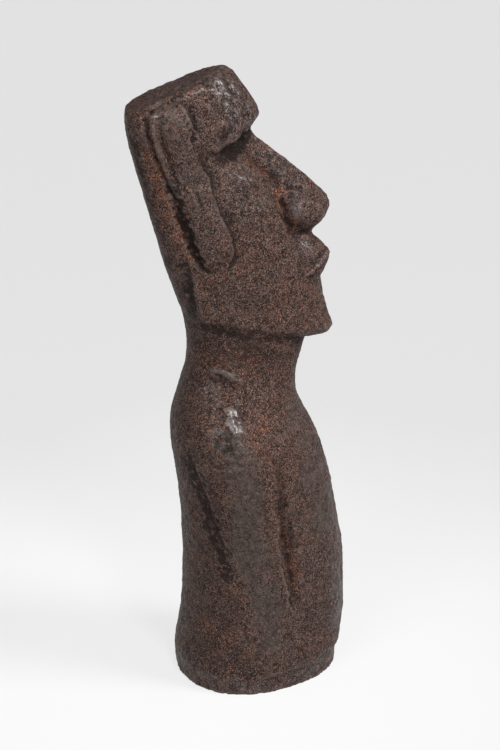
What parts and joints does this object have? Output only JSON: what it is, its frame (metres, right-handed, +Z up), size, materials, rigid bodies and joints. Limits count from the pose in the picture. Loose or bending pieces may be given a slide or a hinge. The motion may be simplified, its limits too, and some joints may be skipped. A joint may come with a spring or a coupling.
{
  "type": "moai statue",
  "caption": "Dark brown cast moai figure: a long stylised head with a heavy brow, long nose and long ears, on a neck and torso with relief arms, flat below.",
  "frame": {"origin": "centre of the outline, on the flat underside", "axes": "+Z up along the figure's height, the figure faces -Y, +X towards the figure's own left"},
  "size_m": [0.2314, 0.28, 0.8],
  "materials": {
    "cast_stone": "rough dark brown stone cast with a faint gloss, rust-orange and black flecks, greyer where it is smooth"
  },
  "bodies": {
    "root": {"moai_figure": "cast_stone"}
  },
  "joints": []
}
